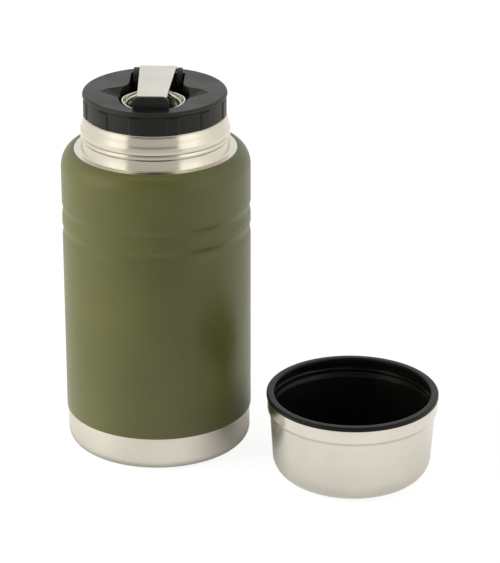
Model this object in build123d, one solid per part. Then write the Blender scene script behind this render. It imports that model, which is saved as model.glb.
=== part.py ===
from build123d import *
import math
import os

# Origin: centre of the jar's foot on the table. +Z up, +Y towards the spoon's hinge.

# Fits and clearances
WELD_GAP = 0.05          # between round faces that are pressed or welded together
RUN_GAP = 0.05           # pin in the spoon's eye, radial
FREE_GAP = 0.30          # between round faces that move past each other
SWING_GAP = 0.35         # beside the spoon's eye and above it, in the handle's notch

# Outer shell
BODY_R = 50.0
BODY_H = 165.85
SHELL_WALL = 0.8
COAT_BOTTOM_Z = 18.7
TAIL_STEP = 1.55
SHOULDER_H = 10.1
LEDGE_W = 5.5
GROOVE_DEPTH = 0.6
GROOVE_DROP = 29.35
GROOVE_PITCH = 11.5
GROOVE_LIP_H = 3.0
GROOVE_RAMP_H = 5.0

# Base cup
BASE_WALL = 0.8
BASE_REVEAL = 0.6
BASE_TAPER = 0.1
BASE_CORNER_R = 5.0
FOOT_RING_W = 10.3
FOOT_RECESS = 1.4
FOOT_SLOPE_W = 1.6

# Inner flask
MOUTH_R = 35.6
FLASK_WALL = 0.6
FLASK_SPACE = 5.7
FLASK_FLOOR_GAP = 2.8
FLASK_NECK_DROP = 5.85
FLASK_SHOULDER_DROP = 19.85
FLASK_CORNER_R = 10.0
LIP_SETBACK = 0.1

# Neck collar: heights are drops from the lip's top
NECK_H = 18.75
NECK_WALL = 0.8
NECK_TOP_W = 1.7
NECK_TAPER_W = 0.3
NECK_TAPER_DROP = 2.1
BEAD_2_H = 2.1
BEAD_2_DROP = 8.1
BEAD_VALLEY_H = 1.6
BEAD_VALLEY_DROP = 10.2
BEAD_H = 2.0
BEAD_DROP = 11.9
BEAD_ROOT_DROP = 13.3
NECK_LOW_W = 1.1
NECK_LOW_DROP = 16.1
NECK_ROOT_W = 0.3
LEDGE_FILLET = 0.6

# Vacuum parts
FOIL_T = 0.2
FOIL_GAP = 0.15
FOIL_TOP_DROP = 2.0
GETTER_R = 8.0
GETTER_T = 1.2
PLATE_T = 0.8
PLATE_RIM_H = 2.8
PLATE_DISH_R = 12.0
PLATE_DISH = 0.7
VENT_R = 2.0
SEAL_R = 3.6
SEAL_T = 0.8

# Stopper body
BAND_OVERHANG = 1.8
BAND_H = 9.7
GRIP_WALL = 2.0
PLUG_PLAY = 1.0
PLUG_WALL = 2.0
PLUG_H = 20.9
PAD_COUNT = 12
PAD_W = 6.8
PAD_T = 0.5
PAD_TOP_DROP = 0.6
PAD_PHASE_DEG = 3.0
PAD_EDGE_R = 0.3

# Plug base, gasket and foam
GASKET_T = 3.0
GASKET_EDGE_R = 1.2
PLUG_BASE_T = 2.0
PLUG_BASE_SETBACK = 0.4
PLUG_BASE_EDGE_R = 1.0
SPIGOT_GAP = 0.7
SPIGOT_WALL = 1.7
SPIGOT_H = 5.0
FOAM_LIFT = 4.0

# Stopper cover; the well's distances in Y are measured from the band's radius
COVER_T = 2.4
COVER_EDGE_R = 1.4
COVER_SEAM_R = 0.4
COVER_WALL = 1.2
RING_WALL = 1.5
RING_H = 3.0
WELL_DEPTH = 10.9
WELL_FRONT_INSET = 8.4
WELL_FRONT_HALF = 9.6
WELL_CURVE_L = 6.4
WELL_CURVE_HALF = 15.6
WELL_FLANK_L = 14.2
WELL_FLANK_HALF = 17.8
WELL_BOWL_L = 21.6
WELL_BOWL_HALF = 18.6
WELL_ROOM_L = 7.0
WELL_WAIST_L = 12.0
SLOT_HALF = 14.3
SLOT_END_INSET = 9.4
WELL_SIDE_DRAFT = 1.6
WELL_END_DRAFT = 2.6
SCOOP_INSET = 8.9
SCOOP_DEPTH = 4.4
SCOOP_FRONT_L = 6.5
SCOOP_TIP_L = 5.0
SCOOP_HIP_L = 10.0
SCOOP_HIP_W = 3.6
SCOOP_BACK_L = 14.0
SCOOP_DEEP_L = 7.5
SCOOP_REACH_IN = 2.5
EAR_T = 2.8
EAR_GAP = 0.3
EAR_RISE = 2.6
EAR_FRONT_L = 7.0
EAR_BACK_L = 2.4
EAR_ROUND_R = 6.5
EAR_BACK_R = 1.2

# Folding spoon
HINGE_RISE = 2.4
PIN_R = 0.5
EYE_R = 1.0
KNUCKLE_R = 1.5
HANDLE_T = 1.2
HANDLE_REAR_HALF = 9.75
HANDLE_FRONT_HALF = 7.3
HANDLE_END_GAP = 0.5
EYE_HALF = 4.0
STEM_T = 1.0
STEM_HALF = 7.0
STEM_SINK = 1.8
STEM_NECK_L = 4.0
STEM_OVERLAP = 1.5
SPOON_T = 0.8
BOWL_END_GAP = 0.6
BOWL_SIDE_GAP = 2.1
BOWL_FLOOR_GAP = 0.3
BOWL_WIDE_L = 2.0
BOWL_MID_L = 8.0
BOWL_MID_HALF = 13.2
BOWL_MID_DEPTH = 7.4
BOWL_BACK_L = 17.0
BOWL_BACK_HALF = 8.4
BOWL_BACK_DEPTH = 1.3
BOWL_NOSE_STEPS = (80, 64, 45, 22, 0)
HALF_TURN = 180

# Catch tab in front of the handle's free end
TAB_HALF = 9.4
TAB_T = 2.0
TAB_H = 6.5
TAB_SETBACK = 0.2
TAB_TOP_R = 3.5
TAB_EDGE_R = 0.4
TAB_FOOT_HALF = 7.0
TAB_FOOT_T = 1.0
TAB_FOOT_H = 0.9

# Cup lid: a little smaller than the jar's body
CUP_X = 105.2
CUP_Y = -43.5
CUP_H = 46.2
CUP_WALL = 0.6
RIM_STEP = 4.7
RIM_H = 2.3
RIM_W = 2.8
RIM_EDGE_R = 0.7
CUP_STEEL_SETBACK = 0.5
CUP_STEP_DROP = 6.9
CUP_STEP_H = 1.5
CUP_STEP_W = 1.2
CUP_TAPER = 1.7
CUP_CORNER_H = 11.0
CUP_CORNER_W = 10.4
CUP_RECESS_W = 5.5
CUP_RECESS = 0.8
LINER_WALL = 1.2

# Sizes tied to those above
# Jar
TAIL_R = BODY_R - TAIL_STEP
BASE_TOP_R = BODY_R - BASE_REVEAL
BASE_LOW_R = BASE_TOP_R - BASE_TAPER
FOOT_INNER_R = BASE_LOW_R - BASE_CORNER_R - FOOT_RING_W
TAIL_BOTTOM_Z = BASE_CORNER_R
PLATE_TOP_Z = TAIL_BOTTOM_Z + PLATE_RIM_H
SHOULDER_TOP_Z = BODY_H
GROOVE_1_TOP_Z = SHOULDER_TOP_Z - GROOVE_DROP
GROOVE_2_TOP_Z = GROOVE_1_TOP_Z - GROOVE_PITCH
NECK_TOP_R = MOUTH_R + NECK_TOP_W
NECK_TAPER_R = NECK_TOP_R + NECK_TAPER_W
BEAD_2_R = NECK_TOP_R + BEAD_2_H
BEAD_VALLEY_R = NECK_TOP_R + BEAD_VALLEY_H
BEAD_R = NECK_TOP_R + BEAD_H
NECK_LOW_R = NECK_TOP_R + NECK_LOW_W
NECK_ROOT_R = NECK_TOP_R + NECK_ROOT_W
SHOULDER_W = BODY_R - NECK_ROOT_R - LEDGE_W
LIP_TOP_Z = SHOULDER_TOP_Z + NECK_H
LIP_R = NECK_TOP_R - LIP_SETBACK
NECK_TAPER_Z = LIP_TOP_Z - NECK_TAPER_DROP
BEAD_2_Z = LIP_TOP_Z - BEAD_2_DROP
BEAD_VALLEY_Z = LIP_TOP_Z - BEAD_VALLEY_DROP
BEAD_Z = LIP_TOP_Z - BEAD_DROP
BEAD_ROOT_Z = LIP_TOP_Z - BEAD_ROOT_DROP
NECK_LOW_Z = LIP_TOP_Z - NECK_LOW_DROP
FLASK_R = BODY_R - FLASK_SPACE
FLASK_FLOOR_Z = PLATE_TOP_Z + FLASK_FLOOR_GAP + FLASK_WALL
FLASK_NECK_Z = SHOULDER_TOP_Z - FLASK_NECK_DROP
FLASK_SHOULDER_Z = SHOULDER_TOP_Z - FLASK_SHOULDER_DROP
FOIL_TOP_Z = FLASK_SHOULDER_Z - FOIL_TOP_DROP

FLANGE_Z = LIP_TOP_Z + FREE_GAP
COVER_SEAM_Z = FLANGE_Z + BAND_H
COVER_TOP_Z = COVER_SEAM_Z + COVER_T
GRIP_R = MOUTH_R + BAND_OVERHANG
COVER_R = GRIP_R + PAD_T
PLUG_R = MOUTH_R - PLUG_PLAY
PLUG_BOTTOM_Z = FLANGE_Z - PLUG_H
GASKET_R = MOUTH_R - FREE_GAP
PLUG_BASE_R = PLUG_R - PLUG_BASE_SETBACK
SPIGOT_R = PLUG_R - PLUG_WALL - SPIGOT_GAP
FOAM_BOTTOM_Z = PLUG_BOTTOM_Z - GASKET_T + SPIGOT_H + FOAM_LIFT

WELL_FLOOR_Z = COVER_TOP_Z - WELL_DEPTH
WELL_FRONT_Y = WELL_FRONT_INSET - GRIP_R
WELL_BOWL_Y = WELL_FRONT_Y + WELL_BOWL_L
WELL_WAIST_Y = WELL_BOWL_Y + WELL_ROOM_L
SLOT_START_Y = WELL_WAIST_Y + WELL_WAIST_L
SLOT_END_Y = GRIP_R - SLOT_END_INSET
SCOOP_TIP_X = GRIP_R - SCOOP_INSET
EAR_FRONT_Y = SLOT_END_Y - EAR_FRONT_L
EAR_BACK_Y = SLOT_END_Y + EAR_BACK_L
EAR_TOP_Z = COVER_TOP_Z + EAR_RISE

HINGE_Y = SLOT_END_Y
HINGE_Z = COVER_TOP_Z + HINGE_RISE
STEM_TOP_Z = COVER_TOP_Z - STEM_SINK
STEM_BEND_Y = HINGE_Y - STEM_NECK_L
BOWL_RIM_Z = STEM_TOP_Z
BOWL_DEPTH = BOWL_RIM_Z - WELL_FLOOR_Z - BOWL_FLOOR_GAP
BOWL_TIP_Y = WELL_FRONT_Y + BOWL_END_GAP
BOWL_WIDE_Y = WELL_BOWL_Y - BOWL_WIDE_L
BOWL_HALF = WELL_BOWL_HALF - BOWL_SIDE_GAP
BOWL_MID_Y = BOWL_WIDE_Y + BOWL_MID_L
BOWL_BACK_Y = BOWL_WIDE_Y + BOWL_BACK_L
STEM_FRONT_Y = BOWL_BACK_Y - STEM_OVERLAP
TAB_BACK_Y = WELL_FRONT_Y - TAB_SETBACK
HANDLE_FRONT_Y = TAB_BACK_Y + HANDLE_END_GAP

RIM_R = BODY_R - RIM_STEP
RIM_TOP_Z = CUP_H
RIM_MOUTH_R = RIM_R - RIM_W
CUP_STEEL_TOP_Z = RIM_TOP_Z - RIM_H
CUP_STEEL_R = RIM_R - CUP_STEEL_SETBACK
CUP_STEP_TOP_Z = CUP_STEEL_TOP_Z - CUP_STEP_DROP
CUP_STEP_LOW_Z = CUP_STEP_TOP_Z - CUP_STEP_H
CUP_STEP_R = CUP_STEEL_R - CUP_STEP_W
CUP_LOW_R = CUP_STEP_R - CUP_TAPER
CUP_LOW_Z = CUP_CORNER_H
CUP_FOOT_R = CUP_LOW_R - CUP_CORNER_W
CUP_RECESS_R = CUP_FOOT_R - CUP_RECESS_W


def turned(edges):
    """A round part from the edges of half its section in the XZ plane."""
    return revolve(make_face(edges), Axis.Z)


def path_3d(points):
    return [Vector(x, 0, z) for x, z in points]


def line(*points):
    return Polyline(*path_3d(points))


def spline(*points, ends):
    start, finish = ends
    return Spline(*path_3d(points), tangents=[(start[0], 0, start[1]), (finish[0], 0, finish[1])])


def quarter(centre, start, finish):
    """Quarter ellipse about centre; start and finish are level with it and straight above or below."""
    cx, cz = centre
    start_deg = math.degrees(math.atan2(start[1] - cz, start[0] - cx))
    finish_deg = math.degrees(math.atan2(finish[1] - cz, finish[0] - cx))
    sweep = (finish_deg - start_deg + 180) % 360 - 180
    x_radius = max(abs(start[0] - cx), abs(finish[0] - cx))
    z_radius = max(abs(start[1] - cz), abs(finish[1] - cz))
    arc = EllipticalCenterArc((0, 0), x_radius, z_radius, start_angle=start_deg, arc_size=sweep)
    return Pos(cx, 0, cz) * (Plane.XZ * arc)


# ---------------------------------------------------------------- jar


def groove(r, top_z):
    """Rolled groove read upwards: a long soft ramp in, then a short lip to a sharp upper edge."""
    deep_z = top_z - GROOVE_LIP_H
    low_z = deep_z - GROOVE_RAMP_H
    ramp = spline((r, low_z), (r - GROOVE_DEPTH, deep_z), ends=((0, 1), (0, 1)))
    lip = spline((r - GROOVE_DEPTH, deep_z), (r, top_z), ends=((0, 1), (0.35, 0.94)))
    return [ramp, lip], low_z


def shell_wall_line(inset):
    """One face of the shell's sheet from the joggle above the base cup to the shoulder's end."""
    r = BODY_R - inset
    start_z = COAT_BOTTOM_Z + inset
    groove_2, low_2 = groove(r, GROOVE_2_TOP_Z)
    groove_1, low_1 = groove(r, GROOVE_1_TOP_Z)
    shoulder_z = SHOULDER_TOP_Z - SHOULDER_H
    shoulder_r = BODY_R - SHOULDER_W
    end = (shoulder_r, SHOULDER_TOP_Z - inset)
    edges = [line((r, start_z), (r, low_2))]
    edges += groove_2
    edges += [line((r, GROOVE_2_TOP_Z), (r, low_1))]
    edges += groove_1
    edges += [line((r, GROOVE_1_TOP_Z), (r, shoulder_z))]
    edges += [quarter((shoulder_r, shoulder_z), (r, shoulder_z), end)]
    return edges


def outer_shell():
    tail_inner_r = TAIL_R - SHELL_WALL
    inner_start_z = COAT_BOTTOM_Z + SHELL_WALL
    shoulder_r = BODY_R - SHOULDER_W
    edges = shell_wall_line(0)
    edges += [line((shoulder_r, SHOULDER_TOP_Z), (shoulder_r, SHOULDER_TOP_Z - SHELL_WALL))]
    edges += shell_wall_line(SHELL_WALL)
    joggle = line(
        (BODY_R - SHELL_WALL, inner_start_z),
        (tail_inner_r, inner_start_z),
        (tail_inner_r, TAIL_BOTTOM_Z),
        (TAIL_R, TAIL_BOTTOM_Z),
        (TAIL_R, COAT_BOTTOM_Z),
        (BODY_R, COAT_BOTTOM_Z),
    )
    return turned(edges + [joggle])


def base_cup():
    """Pressed cup with a rounded corner and a raised centre, sleeved over the shell's tail."""
    corner_r = BASE_LOW_R - BASE_CORNER_R
    corner_z = BASE_CORNER_R
    inner_r = TAIL_R + WELD_GAP
    recess_r = FOOT_INNER_R - FOOT_SLOPE_W
    outside = quarter((corner_r, corner_z), (corner_r, 0), (BASE_LOW_R, corner_z))
    wall = line(
        (BASE_LOW_R, corner_z),
        (BASE_TOP_R, COAT_BOTTOM_Z),
        (inner_r, COAT_BOTTOM_Z),
        (inner_r, corner_z),
    )
    inside = quarter((corner_r, corner_z), (inner_r, corner_z), (corner_r, BASE_WALL))
    floor = line(
        (corner_r, BASE_WALL),
        (FOOT_INNER_R, BASE_WALL),
        (recess_r, FOOT_RECESS + BASE_WALL),
        (0, FOOT_RECESS + BASE_WALL),
        (0, FOOT_RECESS),
        (recess_r, FOOT_RECESS),
        (FOOT_INNER_R, 0),
        (corner_r, 0),
    )
    return turned([outside, wall, inside, floor])


def neck_face(inset):
    """One face of the neck's sheet from the ledge up to the top edge, with its two rolled beads."""
    top_z = LIP_TOP_Z - FLASK_WALL
    low = (NECK_LOW_R - inset, NECK_LOW_Z)
    bead = spline(
        low,
        (NECK_LOW_R - inset, BEAD_ROOT_Z),
        (BEAD_R - inset, BEAD_Z),
        (BEAD_VALLEY_R - inset, BEAD_VALLEY_Z),
        (BEAD_2_R - inset, BEAD_2_Z),
        (NECK_TAPER_R - inset, NECK_TAPER_Z),
        ends=((0, 1), (-0.1, 1)),
    )
    top = line((NECK_TAPER_R - inset, NECK_TAPER_Z), (NECK_TOP_R - inset, top_z))
    return low, [bead, top]


def neck_collar():
    """Flat ledge that fills the shoulder's mouth, and the neck that stands on it."""
    ledge_r = BODY_R - SHOULDER_W - WELD_GAP
    top_z = LIP_TOP_Z - FLASK_WALL
    under_z = SHOULDER_TOP_Z - NECK_WALL
    root_r = NECK_ROOT_R
    low_out, outside = neck_face(0)
    low_in, inside = neck_face(NECK_WALL)
    foot = line((root_r, SHOULDER_TOP_Z + LEDGE_FILLET), low_out)
    fillet = quarter(
        (root_r + LEDGE_FILLET, SHOULDER_TOP_Z + LEDGE_FILLET),
        (root_r, SHOULDER_TOP_Z + LEDGE_FILLET),
        (root_r + LEDGE_FILLET, SHOULDER_TOP_Z),
    )
    ledge = line(
        (root_r + LEDGE_FILLET, SHOULDER_TOP_Z),
        (ledge_r, SHOULDER_TOP_Z),
        (ledge_r, under_z),
        (root_r - NECK_WALL, under_z),
        low_in,
    )
    rim = line((NECK_TOP_R - NECK_WALL, top_z), (NECK_TOP_R, top_z))
    return turned(outside + [foot, fillet, ledge] + inside + [rim])


def flask_face(inset):
    """One face of the flask's sheet from its bottom centre to the foot of the mouth's lip."""
    r = FLASK_R + inset
    mouth_r = MOUTH_R + inset
    floor_z = FLASK_FLOOR_Z - inset
    corner = (FLASK_R - FLASK_CORNER_R, FLASK_FLOOR_Z + FLASK_CORNER_R)
    bottom = line((0, floor_z), (corner[0], floor_z))
    bend = quarter(corner, (corner[0], floor_z), (r, corner[1]))
    side = line((r, corner[1]), (r, FLASK_SHOULDER_Z))
    flare = spline((r, FLASK_SHOULDER_Z), (mouth_r, FLASK_NECK_Z), ends=((0, 1), (0, 1)))
    return [bottom, bend, side, flare]


def inner_flask():
    """The food vessel, with a lip that turns out over the neck's top edge."""
    under_lip_z = LIP_TOP_Z - FLASK_WALL
    bottom_z = FLASK_FLOOR_Z - FLASK_WALL
    lip = line(
        (MOUTH_R, FLASK_NECK_Z),
        (MOUTH_R, LIP_TOP_Z),
        (LIP_R, LIP_TOP_Z),
        (LIP_R, under_lip_z),
        (MOUTH_R + FLASK_WALL, under_lip_z),
        (MOUTH_R + FLASK_WALL, FLASK_NECK_Z),
    )
    middle = line((0, FLASK_FLOOR_Z), (0, bottom_z))
    return turned(flask_face(0) + flask_face(FLASK_WALL) + [lip, middle])


def foil_wrap():
    """Foil cup that lies on the flask's bottom and stands just clear of its side."""
    outer_r = FLASK_R + FLASK_WALL
    touch_z = FLASK_FLOOR_Z - FLASK_WALL
    centre = (FLASK_R - FLASK_CORNER_R, FLASK_FLOOR_Z + FLASK_CORNER_R)
    inner_r = outer_r + FOIL_GAP
    foil_r = inner_r + FOIL_T
    inside = quarter(centre, (centre[0], touch_z), (inner_r, centre[1]))
    outside = quarter(centre, (centre[0], touch_z - FOIL_T), (foil_r, centre[1]))
    top = line((inner_r, centre[1]), (inner_r, FOIL_TOP_Z), (foil_r, FOIL_TOP_Z), (foil_r, centre[1]))
    disc = line(
        (centre[0], touch_z),
        (0, touch_z),
        (0, touch_z - FOIL_T),
        (centre[0], touch_z - FOIL_T),
    )
    return turned([inside, outside, top, disc])


def getter():
    top_z = FLASK_FLOOR_Z - FLASK_WALL - FOIL_T
    return Pos(0, 0, top_z - GETTER_T / 2) * Cylinder(GETTER_R, GETTER_T)


def bottom_plate():
    """Closing plate with a turned-down rim and a dished, vented centre."""
    r = TAIL_R - SHELL_WALL - WELD_GAP
    under_z = PLATE_TOP_Z - PLATE_T
    rim_z = PLATE_TOP_Z - PLATE_RIM_H
    dish_r = PLATE_DISH_R + PLATE_DISH
    return turned([line(
        (VENT_R, PLATE_TOP_Z - PLATE_DISH),
        (PLATE_DISH_R, PLATE_TOP_Z - PLATE_DISH),
        (dish_r, PLATE_TOP_Z),
        (r, PLATE_TOP_Z),
        (r, rim_z),
        (r - PLATE_T, rim_z),
        (r - PLATE_T, under_z),
        (dish_r, under_z),
        (PLATE_DISH_R, under_z - PLATE_DISH),
        (VENT_R, under_z - PLATE_DISH),
        (VENT_R, PLATE_TOP_Z - PLATE_DISH),
    )])


def vacuum_seal_bead():
    top_z = PLATE_TOP_Z - PLATE_T - PLATE_DISH
    bead = Pos(0, 0, top_z - SEAL_T / 2) * Cylinder(SEAL_R, SEAL_T)
    return fillet(bead.edges().group_by(Axis.Z)[0], SEAL_T / 2)


# ---------------------------------------------------------------- stopper


def grip_pads():
    """Raised grip pads, cut as sectors from one ring and spread evenly round the band."""
    top_z = COVER_SEAM_Z - PAD_TOP_DROP
    height = top_z - FLANGE_Z
    ring = Cylinder(GRIP_R + PAD_T, height) - Cylinder(GRIP_R - PAD_T, height)
    blank = Box(PAD_W, 4 * PAD_T, height)
    blank = fillet(blank.edges().filter_by(Axis.Y), PAD_EDGE_R)
    pad = ring & (Pos(0, -GRIP_R, 0) * blank)
    step = 360 / PAD_COUNT
    pads = [Rot(0, 0, step / 2 + PAD_PHASE_DEG + step * i) * pad for i in range(PAD_COUNT)]
    return [Pos(0, 0, FLANGE_Z + height / 2) * one for one in pads]


def stopper_body():
    """Grip band with its seat flange, and the hollow plug below."""
    band_inner_r = GRIP_R - GRIP_WALL
    plug_inner_r = PLUG_R - PLUG_WALL
    seat_z = FLANGE_Z + GRIP_WALL
    body = turned([line(
        (GRIP_R, FLANGE_Z),
        (GRIP_R, COVER_SEAM_Z),
        (band_inner_r, COVER_SEAM_Z),
        (band_inner_r, seat_z),
        (plug_inner_r, seat_z),
        (plug_inner_r, PLUG_BOTTOM_Z),
        (PLUG_R, PLUG_BOTTOM_Z),
        (PLUG_R, FLANGE_Z),
        (GRIP_R, FLANGE_Z),
    )])
    for pad in grip_pads():
        body += pad
    return body


def plug_base():
    """Closing cap under the plug: a flanged disc with a spigot that guides it in the bore."""
    top_z = PLUG_BOTTOM_Z - GASKET_T
    bottom_z = top_z - PLUG_BASE_T
    spigot_inner_r = SPIGOT_R - SPIGOT_WALL
    base = turned([line(
        (0, bottom_z),
        (PLUG_BASE_R, bottom_z),
        (PLUG_BASE_R, top_z),
        (SPIGOT_R, top_z),
        (SPIGOT_R, top_z + SPIGOT_H),
        (spigot_inner_r, top_z + SPIGOT_H),
        (spigot_inner_r, top_z),
        (0, top_z),
        (0, bottom_z),
    )])
    return fillet(base.edges().group_by(Axis.Z)[0], PLUG_BASE_EDGE_R)


def stopper_gasket():
    inner_r = SPIGOT_R + FREE_GAP
    middle_z = PLUG_BOTTOM_Z - GASKET_T / 2
    ring = Cylinder(GASKET_R, GASKET_T) - Cylinder(inner_r, GASKET_T)
    outer_edges = ring.edges().filter_by(GeomType.CIRCLE).group_by(SortBy.RADIUS)[-1]
    ring = fillet(outer_edges, GASKET_EDGE_R)
    return Pos(0, 0, middle_z) * ring


def stopper_foam():
    top_z = WELL_FLOOR_Z - COVER_WALL
    r = PLUG_R - PLUG_WALL - FREE_GAP
    height = top_z - FOAM_BOTTOM_Z
    return Pos(0, 0, FOAM_BOTTOM_Z + height / 2) * Cylinder(r, height)


def well_outline(z, inset_side, inset_end, grow):
    """The well's plan at height z: a blunt curved front, a wide bowl room and a narrower slot."""
    side = grow - inset_side
    end = grow - inset_end
    front_y = WELL_FRONT_Y - end
    back_y = SLOT_END_Y + grow - inset_side
    right = [
        (WELL_FRONT_HALF + side, front_y),
        (WELL_CURVE_HALF + side, WELL_FRONT_Y + WELL_CURVE_L - end / 2),
        (WELL_FLANK_HALF + side, WELL_FRONT_Y + WELL_FLANK_L),
        (WELL_BOWL_HALF + side, WELL_BOWL_Y),
    ]
    slot = SLOT_HALF + side
    front = Polyline((-right[0][0], front_y, z), (right[0][0], front_y, z))
    nose = Spline(*[(x, y, z) for x, y in right], tangents=[(1, 0.8), (0, 1)])
    waist_ends = [(WELL_BOWL_HALF + side, WELL_WAIST_Y, z), (slot, SLOT_START_Y, z)]
    room = Polyline((WELL_BOWL_HALF + side, WELL_BOWL_Y, z), waist_ends[0])
    waist = Spline(*waist_ends, tangents=[(0, 1), (0, 1)])
    right_side = [nose, room, waist]
    left_side = [mirror(edge, about=Plane.YZ) for edge in right_side]
    slot_end = Polyline(
        (slot, SLOT_START_Y, z),
        (slot, back_y, z),
        (-slot, back_y, z),
        (-slot, SLOT_START_Y, z),
    )
    return make_face([front] + right_side + left_side + [slot_end])


def well_block(floor_z, top_z, grow):
    """The well's drafted room, or with grow the tub around it."""
    top = well_outline(top_z, 0, 0, grow)
    floor = well_outline(floor_z, WELL_SIDE_DRAFT, WELL_END_DRAFT, grow)
    return loft([floor, top], ruled=True)


def scoop_block(side, grow, rim_z, deep_z, reach_z):
    """A finger scoop: a pyramid on its point, deepest at the well's edge, with its rim at rim_z."""
    inner_x = WELL_BOWL_HALF - SCOOP_REACH_IN
    deep = Vector(side * inner_x, WELL_FRONT_Y + WELL_FLANK_L + SCOOP_DEEP_L + SCOOP_FRONT_L, deep_z)
    front_y = WELL_FRONT_Y + WELL_FLANK_L
    corners = [
        (inner_x, front_y - grow),
        (SCOOP_TIP_X + grow, front_y + SCOOP_FRONT_L + SCOOP_TIP_L),
        (SCOOP_TIP_X - SCOOP_HIP_W + grow / 2, front_y + SCOOP_FRONT_L + SCOOP_HIP_L + grow / 2),
        (inner_x, front_y + SCOOP_FRONT_L + SCOOP_BACK_L + grow),
    ]
    stretch = (reach_z - deep_z) / (rim_z - deep_z)
    mouth = []
    for x, y in corners:
        mouth.append(deep + (Vector(side * x, y, rim_z) - deep) * stretch)
    return loft([make_face(Polyline(*mouth, close=True)), Vertex(*deep)], ruled=True)


def cover_ear(side):
    """A guide ear: a plate beside the handle with a quarter-round nose that dips into the slot."""
    inner_x = HANDLE_REAR_HALF + EAR_GAP
    nose_z = EAR_TOP_Z - EAR_ROUND_R
    flat_y = EAR_FRONT_Y + EAR_ROUND_R
    nose = quarter((-flat_y, nose_z), (-EAR_FRONT_Y, nose_z), (-flat_y, EAR_TOP_Z))
    in_disc_z = (COVER_SEAM_Z + COVER_TOP_Z) / 2
    wall_middle = COVER_WALL / 2
    rest = line(
        (-flat_y, EAR_TOP_Z),
        (-EAR_BACK_Y, EAR_TOP_Z),
        (-EAR_BACK_Y, in_disc_z),
        (-SLOT_END_Y - wall_middle, in_disc_z),
        (-SLOT_END_Y + WELL_SIDE_DRAFT - wall_middle, WELL_FLOOR_Z),
        (-EAR_FRONT_Y, WELL_FLOOR_Z),
        (-EAR_FRONT_Y, nose_z),
    )
    profile = Rot(0, 0, -90) * make_face([nose, rest])
    ear = extrude(profile, EAR_T / 2, both=True)
    back_top = ear.edges().filter_by(Axis.X).group_by(Axis.Z)[-1].sort_by(Axis.Y)[-1]
    ear = fillet(back_top, EAR_BACK_R)
    return Pos(side * (inner_x + EAR_T / 2), 0, 0) * ear


def cover_disc():
    """The cover's round top with a soft upper edge and a locating ring under it."""
    disc = Pos(0, 0, (COVER_SEAM_Z + COVER_TOP_Z) / 2) * Cylinder(COVER_R, COVER_T)
    disc = fillet(disc.edges().group_by(Axis.Z)[-1], COVER_EDGE_R)
    disc = chamfer(disc.edges().group_by(Axis.Z)[0], COVER_SEAM_R)
    ring_r = GRIP_R - GRIP_WALL - WELD_GAP
    ring = Cylinder(ring_r, RING_H) - Cylinder(ring_r - RING_WALL, RING_H)
    return disc + Pos(0, 0, COVER_SEAM_Z - RING_H / 2) * ring


def tab_foot(gap):
    """The foot that holds the catch tab in the cover, or with a gap the pocket for it."""
    foot_w = 2 * (TAB_FOOT_HALF + gap)
    foot = Box(foot_w, TAB_FOOT_T + 2 * gap, TAB_FOOT_H, align=(Align.CENTER, Align.CENTER, Align.MAX))
    return Pos(0, TAB_BACK_Y - TAB_T + TAB_FOOT_T / 2 + TAB_EDGE_R, COVER_TOP_Z) * foot


def stopper_cover():
    """Moulded top: disc, spoon well with its tub, two finger scoops and two guide ears."""
    seam_top_z = (COVER_SEAM_Z + COVER_TOP_Z) / 2
    scoop_z = COVER_TOP_Z - SCOOP_DEPTH
    cover = cover_disc()
    cover += well_block(WELL_FLOOR_Z - COVER_WALL, seam_top_z, COVER_WALL)
    for side in (-1, 1):
        cover += scoop_block(side, COVER_WALL, seam_top_z, scoop_z - COVER_WALL, seam_top_z)
    cover -= well_block(WELL_FLOOR_Z, COVER_TOP_Z, 0)
    for side in (-1, 1):
        cover -= scoop_block(side, 0, COVER_TOP_Z, scoop_z, COVER_TOP_Z + COVER_WALL)
    for side in (-1, 1):
        cover += cover_ear(side)
    return cover - tab_foot(WELD_GAP)


def spoon_tab():
    """Moulded catch tab that stands on the cover in front of the handle's free end."""
    tab = Box(2 * TAB_HALF, TAB_T, TAB_H, align=(Align.CENTER, Align.MAX, Align.MIN))
    tab = fillet(tab.edges().filter_by(Axis.Y).group_by(Axis.Z)[-1], TAB_TOP_R)
    tab = chamfer(tab.faces().sort_by(Axis.Y)[0].edges().group_by(Axis.Z)[1:], TAB_EDGE_R)
    return Pos(0, TAB_BACK_Y, COVER_TOP_Z) * tab + tab_foot(0)


# ---------------------------------------------------------------- spoon


def across_x(edges, half_width):
    """A sheet or bar from its side view, drawn with Y to the right and Z up."""
    profile = Rot(0, 0, 90) * make_face(edges)
    return extrude(profile, half_width, both=True)


def along_hinge(r, start_x, end_x):
    """A rod on the hinge line between two stations along X."""
    rod = Rot(0, 90, 0) * Cylinder(r, end_x - start_x)
    return Pos((start_x + end_x) / 2, HINGE_Y, HINGE_Z) * rod


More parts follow.
